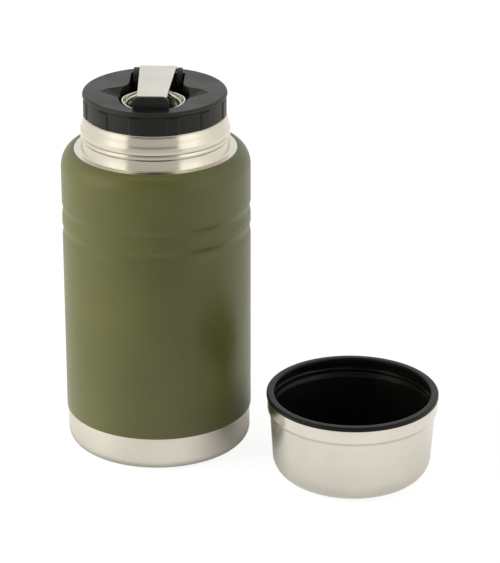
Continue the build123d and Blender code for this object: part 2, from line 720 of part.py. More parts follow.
def stem_sheet():
    """The strip that drops from the eye into the slot and runs forward to the bowl."""
    low_z = STEM_TOP_Z - STEM_T
    front_y = HINGE_Y - EYE_R
    back_y = HINGE_Y - RUN_GAP
    bend_z = COVER_TOP_Z + STEM_T / 2
    neck = across_x([line(
        (front_y, HINGE_Z),
        (front_y - STEM_T, bend_z),
        (STEM_BEND_Y, STEM_TOP_Z),
        (STEM_BEND_Y - STEM_T, STEM_TOP_Z),
        (STEM_BEND_Y - STEM_T, low_z),
        (STEM_BEND_Y + STEM_T / 2, low_z),
        (back_y - STEM_T, bend_z - STEM_T / 2),
        (back_y, HINGE_Z),
        (front_y, HINGE_Z),
    )], EYE_HALF)
    blade = make_face(Polyline(
        (EYE_HALF, STEM_BEND_Y, 0),
        (STEM_HALF, STEM_BEND_Y - STEM_HALF + EYE_HALF, 0),
        (BOWL_BACK_HALF - SPOON_T, STEM_FRONT_Y, 0),
        (SPOON_T - BOWL_BACK_HALF, STEM_FRONT_Y, 0),
        (-STEM_HALF, STEM_BEND_Y - STEM_HALF + EYE_HALF, 0),
        (-EYE_HALF, STEM_BEND_Y, 0),
        close=True,
    ))
    return neck + extrude(Pos(0, 0, low_z) * blade, STEM_T)


def bowl_section(y, half, depth):
    """Half ellipse across the bowl at station y, closed along the rim."""
    arc = EllipticalCenterArc((0, 0), half, depth, start_angle=HALF_TURN, arc_size=HALF_TURN)
    section = make_face([arc, Line(arc @ 1, arc @ 0)])
    return Plane(origin=(0, y, BOWL_RIM_Z), x_dir=(1, 0, 0), z_dir=(0, -1, 0)) * section


def bowl_form(inset):
    """The bowl as a filled form, inset by the sheet's thickness for its inner face."""
    nose = BOWL_WIDE_Y - BOWL_TIP_Y - inset
    half = BOWL_HALF - inset
    depth = BOWL_DEPTH - inset
    stations = []
    for degrees in BOWL_NOSE_STEPS:
        turn = math.radians(degrees)
        stations.append((BOWL_WIDE_Y - nose * math.sin(turn), half * math.cos(turn), depth * math.cos(turn)))
    stations.append((BOWL_MID_Y, BOWL_MID_HALF - inset, BOWL_MID_DEPTH - inset))
    stations.append((BOWL_BACK_Y, BOWL_BACK_HALF - inset, BOWL_BACK_DEPTH - inset))
    return loft([bowl_section(*station) for station in stations])


def spoon_bowl():
    """Egg-shaped bowl that tapers straight back into the stem, and the stem's eye."""
    bowl = bowl_form(0) - bowl_form(SPOON_T)
    eye = stem_sheet() + along_hinge(EYE_R, -EYE_HALF, EYE_HALF)
    return bowl + (eye - along_hinge(PIN_R + RUN_GAP, -EYE_HALF, EYE_HALF))


def spoon_handle():
    """Flat tapered plate whose rear edge is rolled into two knuckles, hollowed over the eye."""
    top_z = HINGE_Z + KNUCKLE_R
    plate = make_face(Polyline(
        (HANDLE_FRONT_HALF, HANDLE_FRONT_Y, 0),
        (HANDLE_REAR_HALF, HINGE_Y, 0),
        (-HANDLE_REAR_HALF, HINGE_Y, 0),
        (-HANDLE_FRONT_HALF, HANDLE_FRONT_Y, 0),
        close=True,
    ))
    notch_half = EYE_HALF + SWING_GAP
    handle = extrude(Pos(0, 0, top_z - HANDLE_T) * plate, HANDLE_T)
    handle -= along_hinge(KNUCKLE_R - SWING_GAP, -notch_half, notch_half)
    handle += along_hinge(KNUCKLE_R, notch_half, HANDLE_REAR_HALF)
    handle += along_hinge(KNUCKLE_R, -HANDLE_REAR_HALF, -notch_half)
    return handle - along_hinge(PIN_R + WELD_GAP, -HANDLE_REAR_HALF, HANDLE_REAR_HALF)


def spoon_hinge_pin():
    return along_hinge(PIN_R, -HANDLE_REAR_HALF, HANDLE_REAR_HALF)


# ---------------------------------------------------------------- cup lid


def cup_face(inset, top_z):
    """One face of the cup's wall, from the centre of its foot up to top_z."""
    foot_z = inset
    low = (CUP_LOW_R - inset, CUP_LOW_Z)
    recess_z = CUP_RECESS + inset
    foot = line(
        (0, recess_z),
        (CUP_RECESS_R, recess_z),
        (CUP_RECESS_R + CUP_RECESS, foot_z),
        (CUP_FOOT_R, foot_z),
    )
    corner = quarter((CUP_FOOT_R, CUP_LOW_Z), (CUP_FOOT_R, foot_z), low)
    side = line(
        low,
        (CUP_STEP_R - inset, CUP_STEP_LOW_Z),
        (CUP_STEEL_R - inset, CUP_STEP_TOP_Z),
        (CUP_STEEL_R - inset, top_z),
    )
    return [foot, corner, side]


def cup_shell():
    edges = cup_face(0, CUP_STEEL_TOP_Z) + cup_face(CUP_WALL, CUP_STEEL_TOP_Z)
    edges += [line((CUP_STEEL_R, CUP_STEEL_TOP_Z), (CUP_STEEL_R - CUP_WALL, CUP_STEEL_TOP_Z))]
    edges += [line((0, CUP_RECESS), (0, CUP_RECESS + CUP_WALL))]
    return Pos(CUP_X, CUP_Y, 0) * turned(edges)


def cup_liner():
    """Moulded liner: a thin wall inside the steel and a rounded rim rolled over its top edge."""
    outer = CUP_WALL + WELD_GAP
    inner = outer + LINER_WALL
    inner_top_z = RIM_TOP_Z - 2 * RIM_EDGE_R
    inner_r = CUP_STEEL_R - inner
    rim = line(
        (CUP_STEEL_R - outer, CUP_STEEL_TOP_Z),
        (RIM_R, CUP_STEEL_TOP_Z),
        (RIM_R, RIM_TOP_Z - RIM_EDGE_R),
    )
    rim_out = quarter(
        (RIM_R - RIM_EDGE_R, RIM_TOP_Z - RIM_EDGE_R),
        (RIM_R, RIM_TOP_Z - RIM_EDGE_R),
        (RIM_R - RIM_EDGE_R, RIM_TOP_Z),
    )
    rim_top = line((RIM_R - RIM_EDGE_R, RIM_TOP_Z), (RIM_MOUTH_R + RIM_EDGE_R, RIM_TOP_Z))
    rim_in = quarter(
        (RIM_MOUTH_R + RIM_EDGE_R, RIM_TOP_Z - RIM_EDGE_R),
        (RIM_MOUTH_R + RIM_EDGE_R, RIM_TOP_Z),
        (RIM_MOUTH_R, RIM_TOP_Z - RIM_EDGE_R),
    )
    mouth = line((RIM_MOUTH_R, RIM_TOP_Z - RIM_EDGE_R), (RIM_MOUTH_R, inner_top_z - RIM_EDGE_R),
                 (inner_r, inner_top_z - 2 * RIM_EDGE_R))
    edges = cup_face(outer, CUP_STEEL_TOP_Z) + cup_face(inner, inner_top_z - 2 * RIM_EDGE_R)
    edges += [rim, rim_out, rim_top, rim_in, mouth]
    edges += [line((0, CUP_RECESS + outer), (0, CUP_RECESS + inner))]
    return Pos(CUP_X, CUP_Y, 0) * turned(edges)


PARTS = {
    "outer_shell": outer_shell,
    "base_cup": base_cup,
    "neck_collar": neck_collar,
    "inner_flask": inner_flask,
    "foil_wrap": foil_wrap,
    "getter": getter,
    "bottom_plate": bottom_plate,
    "vacuum_seal_bead": vacuum_seal_bead,
    "stopper_body": stopper_body,
    "plug_base": plug_base,
    "stopper_gasket": stopper_gasket,
    "stopper_foam": stopper_foam,
    "stopper_cover": stopper_cover,
    "spoon_bowl": spoon_bowl,
    "spoon_handle": spoon_handle,
    "spoon_hinge_pin": spoon_hinge_pin,
    "spoon_tab": spoon_tab,
    "cup_shell": cup_shell,
    "cup_liner": cup_liner,
}

os.makedirs("parts", exist_ok=True)
for name, make in PARTS.items():
    export_step(make(), f"parts/{name}.step")
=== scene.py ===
import math

import bmesh
import bpy
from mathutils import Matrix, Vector


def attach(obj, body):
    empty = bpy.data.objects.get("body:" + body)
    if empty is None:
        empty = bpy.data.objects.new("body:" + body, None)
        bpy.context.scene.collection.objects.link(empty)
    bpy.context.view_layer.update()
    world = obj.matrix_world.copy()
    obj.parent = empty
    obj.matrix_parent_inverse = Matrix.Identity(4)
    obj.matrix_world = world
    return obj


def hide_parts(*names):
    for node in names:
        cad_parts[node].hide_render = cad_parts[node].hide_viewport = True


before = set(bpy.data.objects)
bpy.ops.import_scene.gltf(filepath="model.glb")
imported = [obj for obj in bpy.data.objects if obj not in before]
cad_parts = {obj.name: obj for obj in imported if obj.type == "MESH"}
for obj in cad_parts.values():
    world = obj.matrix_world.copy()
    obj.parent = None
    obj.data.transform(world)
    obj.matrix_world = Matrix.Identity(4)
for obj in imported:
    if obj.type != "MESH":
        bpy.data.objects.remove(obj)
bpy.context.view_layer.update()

# ------------------------------------------------------------------ inner flask
# The vessel that holds the food: one thin stainless sheet, drawn deep and necked in,
# with its mouth turned out over the neck's top edge and welded there.

MM = 0.001  # half sections are lists of (radius, height) in mm
AROUND = 256
FOLD_ANGLE = 32
FLASK_R = 44.3
FLASK_FLOOR = 11.2
FLASK_CORNER = 10.0
FLASK_SHEET = 0.6
NECKED_FROM, NECKED_TO = 146, 160
MOUTH_R = 35.6
NECK_TOP = 184.0


def arc(centre_r, centre_z, radius_r, radius_z, start, end, count):
    """Points of an elliptical arc in the half section; angles in degrees from outwards."""
    points = []
    for i in range(count + 1):
        turn = math.radians(start + (end - start) * i / count)
        points.append((centre_r + radius_r * math.cos(turn), centre_z + radius_z * math.sin(turn)))
    return points


def smooth(t):
    return t * t * (3 - 2 * t)


def eased(start, end, count):
    """Points of an S curve that leaves start and reaches end running straight up or down."""
    (r0, z0), (r1, z1) = start, end
    steps = [i / count for i in range(count + 1)]
    return [(r0 + (r1 - r0) * smooth(t), z0 + (z1 - z0) * t) for t in steps]


def finish_mesh(name, bm):
    """Turns a bmesh into a smooth-shaded piece with crisp folds."""
    bmesh.ops.recalc_face_normals(bm, faces=bm.faces)
    mesh = bpy.data.meshes.new(name)
    bm.to_mesh(mesh)
    bm.free()
    mesh.polygons.foreach_set("use_smooth", [True] * len(mesh.polygons))
    mesh.set_sharp_from_angle(angle=math.radians(FOLD_ANGLE))
    piece = bpy.data.objects.new(name, mesh)
    bpy.context.scene.collection.objects.link(piece)
    return piece


def lathe(name, section, around=AROUND, shape=None):
    """A turned piece from a closed half section. shape(turn, r, z) may move a point in or out."""
    bm = bmesh.new()
    rings = []
    for r, z in section:
        if r < 1e-6:
            rings.append([bm.verts.new((0, 0, z * MM))])
            continue
        ring = []
        for i in range(around):
            turn = 2 * math.pi * i / around
            radius, height = shape(turn, r, z) if shape else (r, z)
            across, back = radius * MM * math.cos(turn), radius * MM * math.sin(turn)
            ring.append(bm.verts.new((across, back, height * MM)))
        rings.append(ring)
    for a, b in zip(rings, rings[1:] + rings[:1]):
        if len(a) == 1 and len(b) == 1:
            continue
        for i in range(around):
            j = (i + 1) % around
            if len(a) == 1:
                bm.faces.new((a[0], b[j], b[i]))
            elif len(b) == 1:
                bm.faces.new((a[i], a[j], b[0]))
            else:
                bm.faces.new((a[i], a[j], b[j], b[i]))
    return finish_mesh(name, bm)


def finish_with(piece, material):
    piece.data.materials.clear()
    piece.data.materials.append(material)


def dress(piece, material, body, slot, *nodes):
    """Gives a piece its finish, seats it on its body and lets it stand for its CAD nodes."""
    finish_with(piece, material)
    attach(piece, body)
    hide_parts(*nodes)


def new_group(name, inputs, outputs):
    """An empty shader node group with number sockets; inputs come with their usual values."""
    group = bpy.data.node_groups.new(name, "ShaderNodeTree")
    for label, value in inputs:
        socket = group.interface.new_socket(
            name=label, in_out="INPUT", socket_type="NodeSocketFloat")
        socket.default_value = value
    for label in outputs:
        group.interface.new_socket(name=label, in_out="OUTPUT", socket_type="NodeSocketFloat")
    return group, group.nodes.new("NodeGroupInput"), group.nodes.new("NodeGroupOutput")


def add(tree, kind, links=(), **options):
    """Adds a node, sets its options, and links or sets its inputs by name or number."""
    node = tree.nodes.new(kind)
    for key, value in options.items():
        setattr(node, key, value)
    for socket, source in dict(links).items():
        if hasattr(source, "is_output"):
            tree.links.new(source, node.inputs[socket])
        else:
            node.inputs[socket].default_value = source
    return node


def maths(tree, operation, *terms):
    return add(tree, "ShaderNodeMath", dict(enumerate(terms)), operation=operation).outputs[0]


def noise(tree, place, **settings):
    """Fac of a noise texture, with its settings given by their socket names."""
    node = add(tree, "ShaderNodeTexNoise", {"Vector": place, **settings})
    return node.outputs["Fac"]


def object_place(tree):
    return add(tree, "ShaderNodeTexCoord").outputs["Object"]


def spread(tree, value, start, end, low, high):
    """Carries a value over from the range start to end into the range low to high."""
    return add(tree, "ShaderNodeMapRange", {
        "Value": value, "From Min": start, "From Max": end,
        "To Min": low, "To Max": high}).outputs[0]


def turned_marks_group():
    """Fine marks that run round a turned or polished piece, as a roughness and a height."""
    group, given, put = new_group(
        "turned_marks",
        [("Across", 2600.0), ("Along", 3.0), ("Rough Low", 0.2), ("Rough High", 0.36)],
        ["Roughness", "Height", "Cloud"])
    place = object_place(group)
    split = add(group, "ShaderNodeSeparateXYZ", {0: place}).outputs
    turn = maths(group, "ARCTAN2", split["Y"], split["X"])
    flat = add(group, "ShaderNodeCombineXYZ", {"X": split["X"], "Y": split["Y"], "Z": 0.0})
    radius = add(group, "ShaderNodeVectorMath", {0: flat.outputs[0]}, operation="LENGTH")
    slope = maths(group, "ADD", split["Z"], radius.outputs["Value"])
    across = maths(group, "MULTIPLY", slope, given.outputs["Across"])
    along = maths(group, "MULTIPLY", turn, given.outputs["Along"])
    grid = add(group, "ShaderNodeCombineXYZ", {"X": along, "Y": across, "Z": 0.0}).outputs[0]
    marks = noise(group, grid, Scale=1.0, Detail=4.0, Roughness=0.65)
    cloud = noise(group, place, Scale=38.0, Detail=3.0, Roughness=0.5)
    both = maths(group, "MULTIPLY_ADD", marks, 0.7, cloud)
    rough = spread(
        group, both, 0.45, 1.25, given.outputs["Rough Low"], given.outputs["Rough High"])
    group.links.new(rough, put.inputs["Roughness"])
    group.links.new(marks, put.inputs["Height"])
    group.links.new(cloud, put.inputs["Cloud"])
    return group


def new_material(name):
    material = bpy.data.materials.new(name)
    material.use_nodes = True
    return material, material.node_tree, material.node_tree.nodes["Principled BSDF"]


def tint(tree, shader, mask, dark, light, near=0.3, far=0.7):
    """Base colour that wanders between two near tones along a mask."""
    ramp = tree.nodes.new("ShaderNodeValToRGB")
    first, last = ramp.color_ramp.elements
    first.position, last.position = near, far
    first.color, last.color = (*dark, 1), (*light, 1)
    tree.links.new(mask, ramp.inputs[0])
    tree.links.new(ramp.outputs["Color"], shader.inputs["Base Color"])


def roughen(tree, shader, mask, low, high, start=0.0, end=1.0):
    tree.links.new(spread(tree, mask, start, end, low, high), shader.inputs["Roughness"])


def bump(tree, shader, height, strength, distance):
    links = {"Height": height, "Strength": strength, "Distance": distance}
    node = add(tree, "ShaderNodeBump", links)
    tree.links.new(node.outputs["Normal"], shader.inputs["Normal"])


turned_marks = turned_marks_group()


def steel(name, dark, light, rough, stretch, depth):
    """Stainless sheet with fine marks round its axis, which draw its gleams out up and down."""
    material, tree, shader = new_material(name)
    marks = add(
        tree, "ShaderNodeGroup", {"Rough Low": rough[0], "Rough High": rough[1]},
        node_tree=turned_marks).outputs
    tint(tree, shader, marks["Cloud"], dark, light)
    tree.links.new(marks["Roughness"], shader.inputs["Roughness"])
    shader.inputs["Metallic"].default_value = 1.0
    shader.inputs["Anisotropic"].default_value = stretch
    shader.inputs["Anisotropic Rotation"].default_value = 0.25
    bump(tree, shader, marks["Height"], depth, 0.00002)
    return material


flask_steel = steel(
    "drawn_flask_steel", dark=(0.52, 0.51, 0.48), light=(0.62, 0.61, 0.57),
    rough=(0.16, 0.3), stretch=0.0, depth=0.12)

corner_r, corner_z = FLASK_R - FLASK_CORNER, FLASK_FLOOR + FLASK_CORNER
outer_corner = FLASK_CORNER + FLASK_SHEET
flask_in = [(0, FLASK_FLOOR)] + arc(corner_r, corner_z, FLASK_CORNER, FLASK_CORNER, -90, 0, 14)
flask_in += eased((FLASK_R, NECKED_FROM), (MOUTH_R, NECKED_TO), 18)
flask_in += [(MOUTH_R, 183.7)] + arc(36.5, 183.7, 0.9, 0.9, 180, 90, 6) + [(37.0, 184.6)]
flask_out = arc(36.9, 184.3, 0.3, 0.3, 90, 0, 4)[1:]
flask_out += [(37.2, NECK_TOP), (MOUTH_R + FLASK_SHEET, NECK_TOP)]
flask_out += eased((MOUTH_R + FLASK_SHEET, NECKED_TO), (FLASK_R + FLASK_SHEET, NECKED_FROM), 18)
flask_out += arc(corner_r, corner_z, outer_corner, outer_corner, 0, -90, 14)
flask_out += [(0, FLASK_FLOOR - FLASK_SHEET)]
inner_flask = lathe("inner_flask_sheet", flask_in + flask_out)
dress(inner_flask, flask_steel, "jar", "brushed_steel", "inner_flask")

# ------------------------------------------------------------------ foil wrap, getter, seal bead
# Thin aluminium foil drawn round the flask turns back radiant heat, and the pressed metal
# pellet below it soaks up stray gas. A bead of dull metal closes the hole of the vacuum.

foil, tree, shader = new_material("crinkled_foil")
place = object_place(tree)
crinkle = add(
    tree, "ShaderNodeTexVoronoi", {"Vector": place, "Scale": 160.0}, feature="DISTANCE_TO_EDGE")
soft = noise(tree, place, Scale=60.0, Detail=5.0)
tint(tree, shader, soft, dark=(0.68, 0.68, 0.69), light=(0.82, 0.82, 0.83))
shader.inputs["Metallic"].default_value = 1.0
roughen(tree, shader, soft, 0.16, 0.4)
bump(tree, shader, crinkle.outputs["Distance"], 0.7, 0.0006)
finish_with(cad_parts["foil_wrap"], foil)

pellet, tree, shader = new_material("pressed_getter_metal")
grains = noise(tree, object_place(tree), Scale=1500.0, Detail=4.0)
tint(tree, shader, grains, dark=(0.25, 0.245, 0.24), light=(0.42, 0.41, 0.4))
shader.inputs["Metallic"].default_value = 0.8
roughen(tree, shader, grains, 0.5, 0.75)
bump(tree, shader, grains, 0.4, 0.0002)
for node in ("getter", "vacuum_seal_bead"):
    finish_with(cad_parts[node], pellet)

# ------------------------------------------------------------------ outer shell
# Sheet steel rolled to a tube with two grooves and a spun-in shoulder, then powder
# coated a dull green. The bare tail below the coat slides into the base cup.

SHELL_R = 50.0
SHELL_SHEET = 0.8
SHOULDER_FROM = 155.75
COAT_FOOT = 19.0
TAIL_R = 48.45
TAIL_IN = 47.65
GROOVE_DEPTH = 0.6
GROOVE_LIP = 3.0
GROOVE_LONG = 8.0


def groove(r, top):
    """A rolled groove read upwards: long soft ramp in, short lip out to a crisp upper edge."""
    floor_z = top - GROOVE_LIP
    ramp = eased((r, top - GROOVE_LONG), (r - GROOVE_DEPTH, floor_z), 12)
    steps = [i / 8 for i in range(1, 9)]
    lip = [(r - GROOVE_DEPTH + GROOVE_DEPTH * t ** 1.7, floor_z + GROOVE_LIP * t) for t in steps]
    return ramp + lip


def shell_face(inset):
    """The shell's wall read upwards, from its middle over both grooves to the mouth."""
    r = SHELL_R - inset
    face = [(r, 90.0)] + groove(r, 125.0) + [(r, 126.5)] + groove(r, 136.5)
    face += [(r, 138.0), (r, SHOULDER_FROM)]
    return face + arc(43.1, SHOULDER_FROM, 6.9 - inset, 10.1 - inset, 0, 90, 24)[1:]


def powder_coat_group():
    """Orange-peel skin of a baked powder coat, as a height, and a mask of its drift in tone."""
    group, given, put = new_group(
        "powder_coat_skin", [("Grain Size", 900.0), ("Drift Size", 22.0)], ["Height", "Drift"])
    place = object_place(group)
    grain = noise(group, place, Scale=given.outputs["Grain Size"], Detail=3.0, Roughness=0.6)
    drift = noise(group, place, Scale=given.outputs["Drift Size"], Detail=4.0)
    group.links.new(grain, put.inputs["Height"])
    group.links.new(drift, put.inputs["Drift"])
    return group


green_coat, tree, shader = new_material("dull_green_powder_coat")
skin = add(tree, "ShaderNodeGroup", node_tree=powder_coat_group()).outputs
speck = maths(tree, "MULTIPLY_ADD", skin["Height"], 0.35, skin["Drift"])
tint(
    tree, shader, speck, dark=(0.058, 0.061, 0.011), light=(0.077, 0.08, 0.0165),
    near=0.45, far=0.9)
roughen(tree, shader, speck, 0.32, 0.43, start=0.4, end=0.95)
bump(tree, shader, skin["Height"], 0.35, 0.00008)

shell_out = arc(49.7, COAT_FOOT, 0.3, 0.3, -90, 0, 4) + shell_face(0)
shell_in = list(reversed(shell_face(SHELL_SHEET))) + [(49.2, 19.5), (TAIL_IN, 19.5)]
shell_tail = [(TAIL_IN, 5.0), (TAIL_R, 5.0), (TAIL_R, 18.7)]
outer_shell = lathe("outer_shell_coated", shell_out + shell_in + shell_tail)
dress(outer_shell, green_coat, "jar", "green_coat", "outer_shell")

# ------------------------------------------------------------------ neck collar
# The bare ledge and neck, spun from one steel ring and welded into the shoulder. Two
# rolled beads run round the neck for the cup lid's thread to catch on.

LEDGE_TOP = 165.85
NECK_SHEET = 0.8
BEAD_CRISP_AT = 300

bare_steel = steel(
    "satin_neck_steel", dark=(0.65, 0.615, 0.54), light=(0.73, 0.69, 0.61),
    rough=(0.13, 0.22), stretch=0.8, depth=0.05)


def neck_face(inset):
    """The neck read upwards: waisted root, lower bead, crease, upper bead, drawn-in top."""
    root = [(39.28, 167.2), (38.95, 168.6), (38.65, 170.1), (38.48, 171.3)]
    lower_bead = [(38.75, 171.6), (39.15, 172.1), (39.28, 172.7)]
    crease = [(39.2, 173.4), (39.0, 173.85), (38.86, 174.15), (39.05, 174.45), (39.25, 175.1)]
    upper_bead = [(39.36, 176.0), (39.36, 177.2), (39.3, 177.8)]
    top = [(39.12, 178.3), (38.82, 178.9), (38.6, 179.4), (38.46, 179.9), (38.32, 180.6)]
    top += [(38.14, 181.6), (37.9, 182.6), (37.65, 183.4), (37.3, NECK_TOP)]
    return [(r - inset, z) for r, z in root + lower_bead + crease + upper_bead + top]


def bead_drift(turn, r, z):
    """The lower bead's foot is crisp at the front right and fades towards the back left."""
    if 170.6 < z < 172.2 and r > 37.9:
        crisp = 0.5 + 0.5 * math.cos(turn - math.radians(BEAD_CRISP_AT))
        return r - (r - 38.4) * 0.45 * (1 - crisp), z
    return r, z


neck_out = [(42.75, LEDGE_TOP)] + arc(40.2, 166.6, 0.75, 0.75, 270, 190, 6)
neck_in = list(reversed(neck_face(NECK_SHEET)))
neck_under = [(37.0, 166.4), (36.8, LEDGE_TOP - NECK_SHEET)]
neck_edge = [(43.05, LEDGE_TOP - NECK_SHEET)] + arc(42.75, 165.55, 0.3, 0.3, 0, 90, 4)[:-1]
neck_section = neck_out + neck_face(0) + neck_in + neck_under + neck_edge
neck = lathe("neck_collar_spun", neck_section, shape=bead_drift)
dress(neck, bare_steel, "jar", "brushed_steel", "neck_collar")

# ------------------------------------------------------------------ bottom plate, base cup
# The plate closes the vacuum and stays out of sight. The base cup is a bare pressed
# steel cup pushed over the shell's tail, and the jar stands on its rounded ring.

BASE_CORNER = 5.0
BASE_SHEET = 0.8
STAND_R = 44.3

finish_with(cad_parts["bottom_plate"], flask_steel)

base_steel = steel(
    "satin_base_steel", dark=(0.60, 0.57, 0.51), light=(0.68, 0.65, 0.585),
    rough=(0.22, 0.34), stretch=0.6, depth=0.06)
inner_bend = BASE_CORNER - BASE_SHEET
base_out = [(0, 1.4), (20.0, 1.4), (32.2, 1.4), (32.6, 1.25), (33.6, 0.2), (34.0, 0.0)]
base_out += [(STAND_R, 0.0)]
base_out += arc(STAND_R, BASE_CORNER, BASE_CORNER, BASE_CORNER, -90, 0, 14)[1:]
base_out += [(49.38, 17.0), (49.4, 18.4)] + arc(49.15, 18.45, 0.25, 0.25, 0, 90, 3)[1:]
base_in = [(48.5, 18.7), (48.5, BASE_CORNER)]
base_in += arc(STAND_R, BASE_CORNER, inner_bend, inner_bend, 0, -90, 10)
base_in += [(34.0, 0.8), (32.4, 2.2), (0, 2.2)]
base = lathe("base_cup_pressed", base_out + base_in)
dress(base, base_steel, "jar", "brushed_steel", "base_cup")

# ------------------------------------------------------------------ stopper body
# Moulded black polypropylene: a grip band with twelve raised pads, the flange that
# seats over the neck, and the hollow plug below it with its screw thread.

BAND_R = 37.4
PAD_STEP = 360 / 12
PAD_HALF = 5.2
PAD_PLACE = -72.0
PAD_RISE = 0.5
PAD_TOP = 194.0
PLUG_R = 34.6
THREAD_PITCH = 4.0
THREAD_RISE = 0.5


def moulded_skin_group():
    """Spark-eroded mould texture: a fine height and a soft mask of handling shine."""
    group, given, put = new_group(
        "moulded_skin", [("Grain Size", 1900.0), ("Rub Size", 70.0)], ["Height", "Rub"])
    place = object_place(group)
    grain = noise(group, place, Scale=given.outputs["Grain Size"], Detail=4.0, Roughness=0.7)
    rub = noise(group, place, Scale=given.outputs["Rub Size"], Detail=3.0)
    group.links.new(grain, put.inputs["Height"])
    group.links.new(rub, put.inputs["Rub"])
    return group


moulded_skin = moulded_skin_group()


def black_moulding(name, dark, light, rough, depth, gloss):
    """Black moulded plastic with a fine mould texture."""
    material, tree, shader = new_material(name)
    skin = add(tree, "ShaderNodeGroup", node_tree=moulded_skin).outputs
    tint(tree, shader, skin["Rub"], dark, light)
    roughen(tree, shader, skin["Rub"], *rough, start=0.3, end=0.7)
    shader.inputs["Specular IOR Level"].default_value = gloss
    bump(tree, shader, skin["Height"], depth, 0.00006)
    return material


# The band's black is a darker copy of the cover's black: painted shade for its upright face, which
# takes less light than the top.
band_painted_shade_black = black_moulding(
    "stopper_band_painted_shade_black", dark=(0.005, 0.005, 0.0046), light=(0.009, 0.009, 0.0083),
    rough=(0.34, 0.46), depth=0.25, gloss=0.3)


def share_of(length, whole):
    """How much of a run-out is passed, held between 0 and 1."""
    return min(1.0, max(0.0, length / whole))


def thread_crest(turn, z, half_width):
    """Height, 0 to 1, of a right-handed thread's rounded crest at a place on a turned wall."""
    off = (z - THREAD_PITCH * turn / (2 * math.pi)) % THREAD_PITCH - THREAD_PITCH / 2
    return math.cos(off * math.pi / (2 * half_width)) if abs(off) < half_width else 0.0


def band_and_plug_shape(turn, r, z):
    """Lifts the band's skin into pads with soft ends, and winds a thread round the plug."""
    if r > 37.0 and z < 194.2:
        off = abs((math.degrees(turn) - PAD_PLACE + PAD_STEP / 2) % PAD_STEP - PAD_STEP / 2)
        side = smooth(share_of(PAD_HALF - off, 0.55))
        top = smooth(share_of(PAD_TOP - z, 0.3))
        return r + PAD_RISE * side * top, z
    if abs(r - PLUG_R) < 0.05 and z < 182:
        ends = share_of(z - 167.0, 1.5) * share_of(181.0 - z, 1.5)
        return r + THREAD_RISE * ends * thread_crest(turn, z, 0.9), z
    return r, z


band_heights = (185.2, 186.0, 188.0, 190.0, 192.0, 193.5)
pad_end_heights = (193.65, 193.75, 193.85, 193.95, 194.05, 194.15)
band_side = [(BAND_R, z) for z in band_heights + pad_end_heights]
band_side += [(BAND_R, 194.4), (37.2, 194.6)]
plug_side = [(PLUG_R, 184.9)] + [(PLUG_R, 182.0 - 0.3 * i) for i in range(54)]
plug_side += [(PLUG_R, 164.3), (34.3, 164.0)]
body_section = [(37.1, 184.9)] + band_side
body_section += [(35.4, 194.6), (35.4, 186.9), (32.6, 186.9), (32.6, 164.0)]
body_section += list(reversed(plug_side))
stopper_band = lathe(
    "stopper_band_and_plug", body_section, around=720, shape=band_and_plug_shape)
dress(stopper_band, band_painted_shade_black, "stopper", "black_plastic", "stopper_body")

# ------------------------------------------------------------------ stopper foam, gasket, plug base
# A foam disc fills the plug against heat loss. The moulded end cap holds a grey
# silicone ring against the plug, and the ring seals the jar's mouth.

foam, tree, shader = new_material("closed_cell_foam")
cells = add(tree, "ShaderNodeTexVoronoi", {"Vector": object_place(tree), "Scale": 900.0})
tint(tree, shader, cells.outputs["Distance"], dark=(0.62, 0.6, 0.53), light=(0.78, 0.76, 0.69))
roughen(tree, shader, cells.outputs["Distance"], 0.8, 0.95)
bump(tree, shader, cells.outputs["Distance"], 0.5, 0.0003)
finish_with(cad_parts["stopper_foam"], foam)

silicone, tree, shader = new_material("grey_silicone")
skin = add(tree, "ShaderNodeGroup", node_tree=moulded_skin).outputs
tint(tree, shader, skin["Rub"], dark=(0.26, 0.26, 0.25), light=(0.32, 0.32, 0.31))
roughen(tree, shader, skin["Rub"], 0.45, 0.62)
shader.inputs["Subsurface Weight"].default_value = 0.05
bump(tree, shader, skin["Height"], 0.15, 0.00005)

gasket_section = [(32.2, 161.2), (32.4, 161.0), (33.9, 161.0)]
gasket_section += arc(34.3, 161.7, 1.0, 0.7, -90, 30, 6)
gasket_section += [(34.75, 162.35), (34.55, 162.5), (34.75, 162.65)]
gasket_section += arc(34.3, 163.3, 1.0, 0.7, -30, 90, 6)
gasket_section += [(33.9, 164.0), (32.4, 164.0), (32.2, 163.8)]
gasket = lathe("stopper_gasket_ring", gasket_section)
dress(gasket, silicone, "plug_end", "silicone", "stopper_gasket")

end_section = [(0, 159.6), (24.0, 159.6), (25.0, 159.0), (33.2, 159.0)]
end_section += arc(33.2, 160.0, 1.0, 1.0, -90, 0, 8)[1:]
end_section += [(34.2, 160.8), (34.0, 161.0), (31.9, 161.0), (31.9, 165.7), (31.6, 166.0)]
end_section += [(30.4, 166.0), (30.2, 165.8), (30.2, 161.0), (0, 161.0)]
plug_end = lathe("plug_end_cap", end_section)
# The end cap takes the band's darker black, with its painted shade.
dress(plug_end, band_painted_shade_black, "plug_end", "black_plastic", "plug_base")

# ------------------------------------------------------------------ stopper cover
# The stopper's moulded top: a well shaped to the folded spoon, two finger scoops to lift
# it out and two ears beside its hinge. It is pressed into the band and welded.

cover_black = black_moulding(
    "stopper_cover_black", dark=(0.008, 0.008, 0.007), light=(0.014, 0.014, 0.0125),
    rough=(0.36, 0.48), depth=0.3, gloss=0.36)
finish_with(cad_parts["stopper_cover"], cover_black)

# ------------------------------------------------------------------ spoon
# Bowl, stem and eye are pressed from one strip of bright stainless steel. The handle is a
# flat blanked strip whose two rolled knuckles fold on a steel pin through the eye.

